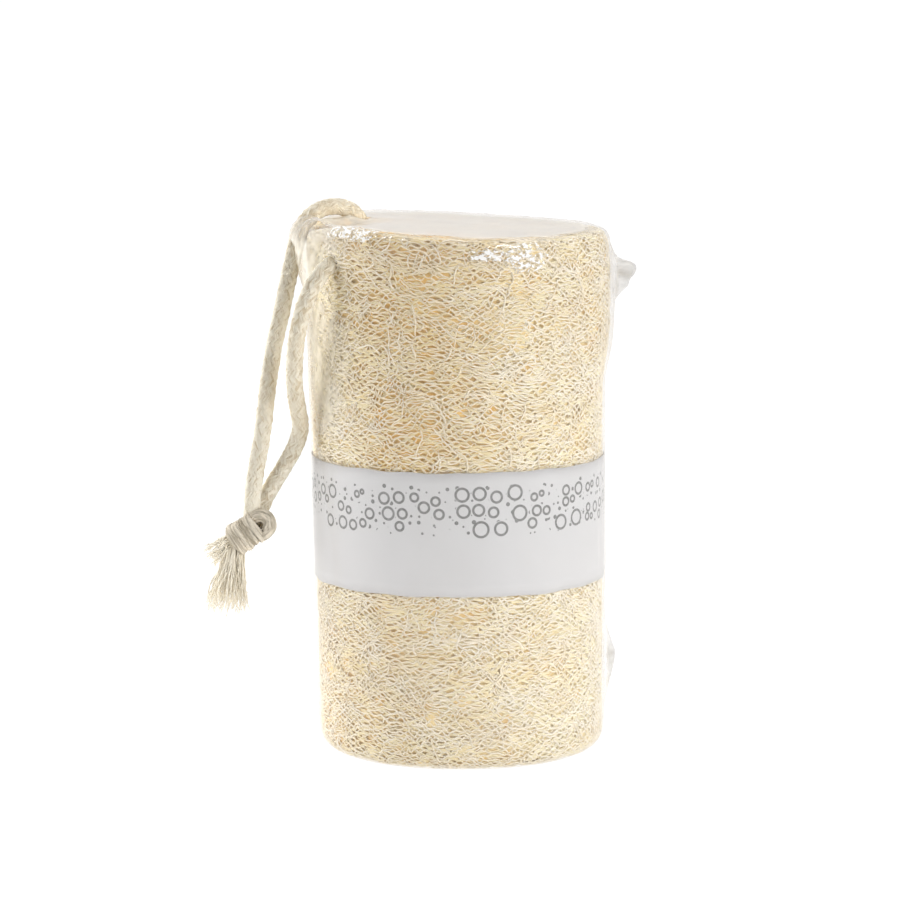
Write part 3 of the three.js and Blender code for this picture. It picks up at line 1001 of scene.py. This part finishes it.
def deep_body():
    """Closed body: the skin moved in, roughened by hills, with its ends lowered inside each seed channel."""
    rng = np.random.default_rng(45)
    rows, columns = 130, 160
    run = np.linspace(0.8, RUN[-1] - 0.8, rows)[:, None]
    turn = np.linspace(0, 2 * np.pi, columns, endpoint=False)[None]
    run, turn = np.broadcast_arrays(run, turn)
    out = DEEP_OUT + hills(rng, rows, columns, 30, 40, 0.22)
    points = skin(turn, run, out)
    ends = [skin(np.zeros(1), np.array([edge]), np.array([DEEP_OUT])) for edge in (0.0, RUN[-1])]
    points = np.concatenate([points.reshape(-1, 3)] + ends)
    flat = points[:, :2] + np.stack([LEAN * points[:, 2] / HEIGHT, 0 * points[:, 2]], -1)
    inside = sum(ease(np.linalg.norm(flat - middle, axis=1), CHANNEL + 0.9, CHANNEL - 0.9)
                 for middle in channel_middles())
    upper = ease(points[:, 2], HEIGHT - 12, HEIGHT - 6)
    lower = ease(points[:, 2], 12, 6)
    points[:, 2] += CHANNEL_DEPTH * inside * (lower - upper)
    # Painted shade: darker where the net above is open, and darker still inside the seed channels near the
    # ends.
    tint = (0.30 + painted_light_and_shade(turn, run) - 0.5 * pit_at(turn, run)).reshape(-1)
    tone = np.clip(np.append(tint, [0.5, 0.5]) - 0.5 * inside * (upper + lower), 0, 1)
    faces, maps = ring_faces(rows, columns)
    return make_piece("loofah_deep_body", points, faces, maps, MATERIALS["loofah_deep"], {"tone": tone})


loofah.append(deep_body())
for piece in loofah:
    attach(piece, "root")
    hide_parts("loofah_sponge")

# %% [markdown]
# ## The paper band
# A strip of uncoated white paper goes round the middle, with its ends lapped at the back. It is a thin closed
# strip on the skin, a little wavy along its edges. Its print is a generic strip of grey rings and dots,
# worked out from the strip's own map, with nothing below it.

# %% Paper material
BAND_LOW = 47.2
BAND_HIGH = 79.6
BAND_LENGTH = 2 * np.pi * 38.6
PRINT_MAP = "print"
RING_ROWS = (17.2, 28.2)
DOT_ROWS = (16.0, 28.6)
RING_HALF_LINE = 0.070
PAPER_TINTS = ((0.64, 0.632, 0.637), (0.68, 0.672, 0.672))
PRINT_INK = (0.16, 0.16, 0.155)


def paper_material():
    """White paper with faint mottle and fibres, and grey rings and dots where the print strip lies.
    The print map is in mm. A ring lies where the distance from its middle is within half a line of its
    radius; rings and dots are kept by the height of their middles, so none is cut off."""
    material, tree, body = new_material("white_paper")
    link = tree.links.new
    calc = partial(maths, tree)
    body.inputs["Roughness"].default_value = 0.62
    body.inputs["Specular IOR Level"].default_value = 0.35
    place = add_node(tree, "ShaderNodeTexCoord")
    spot = add_node(tree, "ShaderNodeUVMap", uv_map=PRINT_MAP)
    voronoi = partial(add_node, tree, "ShaderNodeTexVoronoi", voronoi_dimensions="2D")
    cells = voronoi(Scale=0.20, Randomness=0.75)
    room = voronoi(feature="N_SPHERE_RADIUS", Scale=0.20, Randomness=0.75)
    dots = voronoi(Scale=0.45, Randomness=0.9)
    for pattern in (cells, room, dots):
        link(spot.outputs["UV"], pattern.inputs["Vector"])

    def parted(kind, socket, part):
        """One part of a colour or a point."""
        made = add_node(tree, kind)
        link(socket, made.inputs[0])
        return made.outputs[part]

    def inside(value, low, high, soft):
        """1 where value lies between low and high, with soft edges."""
        up = calc("DIVIDE", calc("SUBTRACT", value, low), soft, clamp=True)
        down = calc("DIVIDE", calc("SUBTRACT", high, value), soft, clamp=True)
        return calc("MULTIPLY", up, down)

    size = parted("ShaderNodeSeparateColor", cells.outputs["Color"], "Red")
    small = parted("ShaderNodeSeparateColor", dots.outputs["Color"], "Green")
    ring_height = parted("ShaderNodeSeparateXYZ", cells.outputs["Position"], "Y")
    dot_height = parted("ShaderNodeSeparateXYZ", dots.outputs["Position"], "Y")
    ring_at = calc("MULTIPLY", room.outputs["Radius"], calc("MULTIPLY_ADD", size, 0.30, 0.52))
    off = calc("ABSOLUTE", calc("SUBTRACT", cells.outputs["Distance"], ring_at))
    ring = calc("DIVIDE", calc("SUBTRACT", RING_HALF_LINE, off), 0.012, clamp=True)
    ring = calc("MULTIPLY", ring, inside(ring_height, *RING_ROWS, 0.01))
    dot_at = calc("MULTIPLY_ADD", small, 0.22, 0.06)
    dot = calc("DIVIDE", calc("SUBTRACT", dot_at, dots.outputs["Distance"]), 0.03, clamp=True)
    open_air = calc("DIVIDE", calc("SUBTRACT", cells.outputs["Distance"], 0.42), 0.02, clamp=True)
    dot = calc("MULTIPLY", calc("MULTIPLY", dot, open_air), inside(dot_height, *DOT_ROWS, 0.01))

    mottle = add_node(tree, "ShaderNodeTexNoise", Scale=90.0, Detail=4.0)
    grain = add_node(tree, "ShaderNodeTexNoise", Scale=2600.0, Detail=4.0, Roughness=0.65)
    worn = add_node(tree, "ShaderNodeTexNoise", Scale=1100.0, Detail=2.0)
    for noise in (mottle, grain, worn):
        link(place.outputs["Object"], noise.inputs["Vector"])
    cover = calc("MULTIPLY", calc("MAXIMUM", ring, dot),
                 calc("MULTIPLY_ADD", worn.outputs["Fac"], 0.5, 0.62, clamp=True))
    tint = blend(tree, mottle.outputs["Fac"], *PAPER_TINTS)
    lift = add_node(tree, "ShaderNodeBump", Strength=0.12, Distance=0.0001)
    link(blend(tree, cover, tint, PRINT_INK), body.inputs["Base Color"])
    link(grain.outputs["Fac"], lift.inputs["Height"])
    link(lift.outputs["Normal"], body.inputs["Normal"])
    return material


MATERIALS["paper"] = paper_material()
print("print strip in mm above the band's lower edge:", DOT_ROWS)

# %% Paper band
BAND_SEAM = math.radians(96.0)
BAND_LAP = math.radians(16.0)
BAND_OUT = 0.40
PAPER = 0.11


def band_piece():
    """Closed strip: outer and inner grids over angle and height, joined along all four edges.
    The last stretch lies over the first, and the edges ripple slightly."""
    rng = np.random.default_rng(51)
    rows, columns = 11, 300
    t = np.linspace(0, 1, columns)
    turn = BAND_SEAM + (2 * np.pi + BAND_LAP) * t
    ripple = waves(rng, 2, columns, 3, 22, 0.10)
    low = BAND_LOW + ripple[0]
    high = BAND_HIGH + ripple[1]
    part = np.linspace(0, 1, rows)[:, None]
    height = low + (high - low) * part
    out = BAND_OUT + 0.24 * ease(turn, BAND_SEAM + 2 * np.pi - 0.10, BAND_SEAM + 2 * np.pi + 0.02)
    out = out + hills(rng, rows, columns, 1.5, 14, 0.025)
    turn = np.broadcast_to(turn, height.shape)
    outer = skin(turn, run_at_height(height), out)
    inner = skin(turn, run_at_height(height), out - PAPER)
    points = np.concatenate([outer.reshape(-1, 3), inner.reshape(-1, 3)])
    index = np.arange(rows * columns).reshape(rows, columns)
    front = np.stack([index[:-1, :-1], index[:-1, 1:], index[1:, 1:], index[1:, :-1]], -1).reshape(-1, 4)
    back = front[:, ::-1] + rows * columns
    loop = np.concatenate([index[0, :-1], index[:-1, -1], index[-1, :0:-1], index[:0:-1, 0]])
    ahead = np.roll(loop, -1)
    rim = np.stack([loop, loop + rows * columns, ahead + rows * columns, ahead], -1)
    around = t * BAND_LENGTH * (1 + BAND_LAP / (2 * np.pi))
    flat = np.stack(np.broadcast_arrays(around, height - BAND_LOW), -1).reshape(-1, 2)
    square = np.stack(np.broadcast_arrays(0.98 * t, 0.45 * part), -1).reshape(-1, 2)
    faces = [np.concatenate([front, back, rim])]
    bake = np.concatenate([square[front], square[back - rows * columns] + np.array([0, 0.5]),
                           np.zeros((len(rim), 4, 2)) + np.array([0.99, 0.97])])
    piece = make_piece("wrapped_band", points, faces, [bake], MATERIALS["paper"])
    spots = np.concatenate([flat, flat * 0 - 100.0])
    layer = piece.data.uv_layers.new(name=PRINT_MAP)
    layer.data.foreach_set("uv", spots[faces[0]].astype(np.float32).reshape(-1))
    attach(piece, "root")
    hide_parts("paper_band")
    return piece


wrapped_band = band_piece()

# %% [markdown]
# ## The shrunk film
# A thin clear film is shrunk over the sponge and the band. It shows by what it reflects: little where one
# looks straight at it and nearly all at a glancing angle, which is why the top of the sponge looks pale; a
# thick milky haze on the flat ends adds to that paleness, in part a painted reflection.
# It is one closed skin over the outline, with two holes for the cord, crinkles round the rim, upright
# wrinkles on the right, a web and a tent beside the cord on the left, and two gathered ears.
# Numbers on the mesh say where it is milky, painted grey as shade, taut, cream or painted with glints as white
# flecks.

# %% Film material
FILM_VALUES = ("haze", "grey", "sheer", "warm", "glint")
FILM_PALE = (0.92, 0.885, 0.84)
FILM_PAINTED_SHADE_GREY = (0.74, 0.73, 0.715)
FILM_CREAM = (1.0, 0.95, 0.82)
FILM_PAINTED_GLINT = (1.0, 0.99, 0.97)
PAINTED_GLINT_SCALE = 760.0


def film_material():
    """Transparent where faced, a mirror at a glancing angle (share = 0.04 + 0.96 * facing ^ 4.2), plus a milky
    haze, painted grey as shade where the film is gathered; the haze blurs the mirror (roughness = 0.08 + 0.45 *
    haze).
    Where the film is taut, sheer = 1, it mirrors more, and the haze thins to a quarter when it is faced; on the
    flat ends that haze is in part a painted reflection. In the glint zones, where it is also crinkled, it
    carries painted
    glints, white flecks: noise + 0.15 * glint, sharpened from 0.60 to 0.68."""
    material, tree, _ = new_material("clear_film")
    tree.nodes.clear()
    link = tree.links.new
    calc = partial(maths, tree)
    haze, grey, sheer, warm, glint = [
        add_node(tree, "ShaderNodeAttribute", attribute_name=name).outputs["Fac"] for name in FILM_VALUES]
    facing = add_node(tree, "ShaderNodeLayerWeight", Blend=0.5).outputs["Facing"]

    place = add_node(tree, "ShaderNodeTexCoord")
    tall = add_node(tree, "ShaderNodeVectorMath", operation="MULTIPLY")
    tall.inputs[1].default_value = (1.0, 1.0, 1.5)
    specks = add_node(tree, "ShaderNodeTexNoise", Scale=PAINTED_GLINT_SCALE, Detail=2.0, Roughness=0.6)
    link(place.outputs["Object"], tall.inputs[0])
    link(tall.outputs[0], specks.inputs["Vector"])
    dense = calc("MULTIPLY_ADD", glint, 0.15, specks.outputs[0])
    sharp = ranged(tree, dense, From_Min=0.60, From_Max=0.68)
    painted_glint_flecks = calc("MULTIPLY", sharp, calc("MULTIPLY", glint, 6.0, clamp=True))

    # On the flat ends the thick haze, thinned when faced, is in part a painted reflection of the glancing view.
    thinned = calc("MULTIPLY", calc("MULTIPLY_ADD", facing, -0.75, 0.75), sheer)
    cover = calc("MULTIPLY", haze, calc("SUBTRACT", 1.0, thinned))
    share = calc("MULTIPLY_ADD", calc("POWER", facing, 4.2), 0.96, 0.04)
    mirror = calc("MULTIPLY", share, calc("MULTIPLY_ADD", sheer, 0.45, 0.55))
    cream = blend(tree, warm, blend(tree, grey, FILM_PALE, FILM_PAINTED_SHADE_GREY), FILM_CREAM)

    clear = add_node(tree, "ShaderNodeBsdfTransparent")
    milky = add_node(tree, "ShaderNodeBsdfDiffuse")
    shine = add_node(tree, "ShaderNodeBsdfGlossy", Color=(0.87, 0.845, 0.815, 1))
    link(blend(tree, painted_glint_flecks, cream, FILM_PAINTED_GLINT), milky.inputs["Color"])
    link(calc("MULTIPLY_ADD", haze, 0.45, 0.08), shine.inputs["Roughness"])

    def shared(amount, first, second):
        """Two shaders mixed: first where amount is 0, second where it is 1."""
        made = add_node(tree, "ShaderNodeMixShader")
        for socket, value in zip(made.inputs, (amount, first, second)):
            link(value, socket)
        return made.outputs[0]

    veil = shared(calc("MAXIMUM", cover, painted_glint_flecks), clear.outputs[0], milky.outputs[0])
    out = add_node(tree, "ShaderNodeOutputMaterial")
    link(shared(mirror, veil, shine.outputs[0]), out.inputs["Surface"])
    return material


MATERIALS["film"] = film_material()
print("film nodes:", len(MATERIALS["film"].node_tree.nodes))

# %% Film shape
EAR_TOP = np.array([[112.0, 0.0], [118.0, 0.2], [120.6, 0.5], [122.0, 1.7], [123.8, 3.3], [126.3, 4.9],
                    [128.5, 5.6], [129.7, 5.3], [130.4, 4.4], [130.9, 2.8], [131.4, 1.4], [132.6, 0.7],
                    [136.0, 0.0]])
EAR_BASE = np.array([[12.0, 0.0], [17.0, 1.2], [22.4, 2.5], [25.6, 2.7], [30.0, 1.4], [36.0, 0.0]])
EAR_HALF = math.radians(2.4)
ARCH = np.array([[-39.5, -2.6], [-29.5, 4.6]])
# Zones where the film bulges and crinkles to catch the glint lamps and is painted with white glints: angle,
# height, half height, width.
GLINTS = ((-61.0, 134.6, 4.4, 0.115), (-75.0, 135.4, 2.0, 0.15), (-133.0, 138.6, 2.4, 0.20))
FILM_OUT = 0.55
WEB_LIFT = 2.7
TENT_LIFT = 3.5
FOLD_LIFT = 2.0
STRIP_TURN = 3.42
SHOULDER_TURN = 3.72
HOLE = 2.9


def film_columns():
    """Angles round the film, closer together where the ears are gathered and where the cord comes through."""
    spans = [(-12.0, 12.0, 0.5), (12.0, 168.0, 2.0), (168.0, 225.0, 0.8), (225.0, 300.0, 0.9),
             (300.0, 348.0, 1.4)]
    return np.radians(np.concatenate([np.arange(*span) for span in spans]))


def film_rows():
    """Lengths along the outline, closer together round the upper rim and over the ears."""
    spans = [(0.8, RUN_FOOT, 2.6), (RUN_FOOT, RUN_WALL + 30, 1.3), (RUN_WALL + 30, RUN_WALL + 76, 2.2),
             (RUN_WALL + 76, RUN_HEAD - 24, 1.4), (RUN_HEAD - 24, RUN_HEAD + 5, 0.55),
             (RUN_HEAD + 5, RUN[-1] - 0.8, 2.0)]
    return np.concatenate([np.arange(*span) for span in spans])


def swell(rng, places, short, long):
    """Random ripples in space: forty sine waves of random direction and phase, short to long mm, of usual
    height one."""
    number = unit(rng.normal(size=(40, 3))) * 2 * np.pi / rng.uniform(short, long, size=(40, 1))
    phase = rng.uniform(0, 2 * np.pi, size=40)
    return sum(np.sin(places @ k + p) for k, p in zip(number, phase)) / np.sqrt(20)


def film_surface():
    """Points of the film and its numbers over the grid: a close fit, let out over the band, then crinkles,
    wrinkles, web, tent, fold and ears."""
    rng = np.random.default_rng(61)
    turn, run = film_columns()[None], film_rows()[:, None]
    rows, columns = run.size, turn.size
    height = np.interp(run, RUN, OUTLINE[1])
    upper = bump(run, RUN_HEAD - 3.5, 8.0)
    lower = bump(run, RUN_WALL - 4.0, 9.0)
    wall = ease(run, RUN_WALL - 6, RUN_WALL + 4) * ease(run, RUN_HEAD, RUN_HEAD - 6)
    flat = ease(run, RUN_HEAD + 0.5, RUN_HEAD + 7)
    across = turned(turn)
    right = np.exp(-(across / 0.50) ** 2)
    band = ease(height, BAND_LOW - 4, BAND_LOW) * ease(height, BAND_HIGH + 4, BAND_HIGH)

    base = skin(turn + 0 * run, run + 0 * turn, 0.0)
    crinkle = swell(rng, base, 2.0, 4.5)
    gentle = hills(rng, rows, columns, 22, 18, 1.0)
    upright = waves(rng, 1, columns, 36, 80, 1.0) * (1 + 0.4 * hills(rng, rows, columns, 3, 16, 1.0))

    left = turned(turn - CORD_TURN)
    web = WEB_LIFT * ease(np.abs(left - 0.06), 0.46, 0.10) * ease(height, 119, 133)
    web = web * ease(run, RUN_HEAD + 5, RUN_HEAD - 1)
    tent = TENT_LIFT * np.exp(-(left / 0.12) ** 2) * ease(height, 131, 137)
    tent = tent * ease(run, RUN_HEAD + 3.5, RUN_HEAD - 1)
    start, reach = ARCH[0], ARCH[1] - ARCH[0]
    part = np.clip((base[..., :2] - start) @ reach / (reach @ reach), 0, 1)
    apart = np.linalg.norm(base[..., :2] - start - part[..., None] * reach, axis=-1)
    fold = FOLD_LIFT * np.exp(-(apart / 2.2) ** 2) * ease(run, RUN_HEAD - 1.5, RUN_HEAD + 1.5)
    lifted = (web ** 3 + tent ** 3 + fold ** 3) ** (1 / 3)
    calm = 1 - 0.6 * ease(lifted, 0.2, 1.2)

    out = FILM_OUT + 0.20 * band + 0.05 * swell(rng, base, 14, 40)
    # Glint zones: there the film bulges and crinkles to catch the glint lamps, and the material paints white
    # glints.
    glint = (1 - flat) * sum(near_turn(turn, np.radians(at), wide) * bump(height, middle, half)
                             for at, middle, half, wide in GLINTS)
    out = out + calm * upper * (0.05 * crinkle + 0.08 * gentle) + lower * (0.03 * crinkle + 0.04 * gentle)
    out = out + glint * (0.07 * crinkle + 0.10)
    out = out + wall * right * 0.06 * upright + flat * 0.025 * swell(rng, base, 8, 24)
    out = out * (1 - 0.65 * ease(run, RUN_WALL + 6, RUN_WALL - 5))

    slack = bump(height, 121, 21) * np.exp(-(across / 0.26) ** 2) * wall
    fin = np.exp(-np.abs(across / EAR_HALF) ** 1.6)
    ear = np.interp(height, *EAR_TOP.T, left=0, right=0) + np.interp(height, *EAR_BASE.T, left=0, right=0)
    ear = np.where(run > RUN_HEAD + 2, 0, ear) * (1 + 0.03 * gentle + 0.07 * crinkle)
    out = out + 0.35 * slack + ear * fin + lifted + 0.09 * crinkle * ease(lifted, 0.3, 1.6)

    # The flat ends get a thick milky haze, in part a painted reflection at a glancing angle.
    milky = ease(run + 0.8 * swell(rng, base, 4, 11), RUN_HEAD - 0.8, RUN_HEAD + 3.2)
    # Painted light: the haze is a little whiter on the front right of the wall, where the key light falls.
    painted_light_right = near_turn(turn, -0.35, 0.75)
    off = turned(turn - STRIP_TURN)
    edge = 0.38 + 0.16 * ease(height, 126, 108) + 0.03 * crinkle
    strip = np.clip((edge - off) / 0.26, 0, 1) * ease(off, -0.80, -0.05) * ease(height, 82, 98) * wall
    shoulder = near_turn(turn, SHOULDER_TURN, 0.22) * ease(height, 126, 136) * (1 - flat)
    gathered, raised = ease(ear * fin, 0.3, 1.6), ease(lifted, 0.3, 1.6)
    arch = milky * np.exp(-(apart / 6.0) ** 2)
    haze = 0.05 + 0.05 * upper + 0.60 * milky - 0.06 * arch + 0.03 * wall * painted_light_right
    haze = haze + 0.20 * slack + 0.05 * ease(height, 60, 35) * wall + 0.12 * shoulder
    haze = haze + (0.48 + 0.18 * crinkle) * gathered + (0.10 + 0.06 * crinkle) * raised
    haze = haze + (0.42 + 0.08 * crinkle) * strip
    haze = np.clip(haze * (1 + 0.18 * gentle * (1 - milky)), 0.0, 0.92)
    # Painted shade: the gathered ears and the slack strip on the right are painted grey.
    grey = np.maximum(gathered, 0.8 * slack)
    turn, run = np.broadcast_to(turn, out.shape), np.broadcast_to(run, out.shape)
    points = skin(turn, run, out)
    numbers = (haze, grey, flat * (1 - arch), np.maximum(strip, 0.8 * arch), ease(glint, 0.05, 0.7))
    return points, dict(zip(FILM_VALUES, numbers))


def cord_crossings():
    """Where the cord passes through the film: the top exit and the side exit, at the film's own distance."""
    route = smooth_route(ROUTE, 0.5)
    top = route[np.argmin(np.abs(route[:, 2] - HEIGHT + 0.4) + 100 * (np.abs(route[:, 0] + 26.5) > 3))]
    radial = np.hypot(route[:, 0] + LEAN * route[:, 2] / HEIGHT, route[:, 1])
    low = (route[:, 1] < -15) & (route[:, 2] > 125)
    side = route[np.argmin(np.abs(radial - RADIUS_TOP - FILM_OUT - 0.8) + 100 * ~low)]
    return np.stack([top, side])


def film_piece():
    """The film as one skin of rings with end caps, less the faces at the two cord holes."""
    points, values = film_surface()
    rows, columns = points.shape[:2]
    ends = [skin(np.zeros(1), np.array([edge]), np.array([FILM_OUT])) for edge in (0.0, RUN[-1])]
    flat = np.concatenate([points.reshape(-1, 3)] + ends)
    faces, maps = ring_faces(rows, columns)
    middle = flat[faces[0]].mean(axis=1)
    away = np.linalg.norm(middle[:, None] - cord_crossings()[None], axis=2).min(axis=1)
    kept = away > HOLE
    faces[0], maps[0] = faces[0][kept], maps[0][kept]
    values = {name: np.append(v.reshape(-1), [v[0].mean(), v[-1].mean()]) for name, v in values.items()}
    piece = make_piece("shrunk_film", flat, faces, maps, MATERIALS["film"], values)
    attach(piece, "root")
    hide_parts("shrink_film")
    return piece


shrunk_film = film_piece()
print("cord holes in mm:", cord_crossings().round(1).tolist())
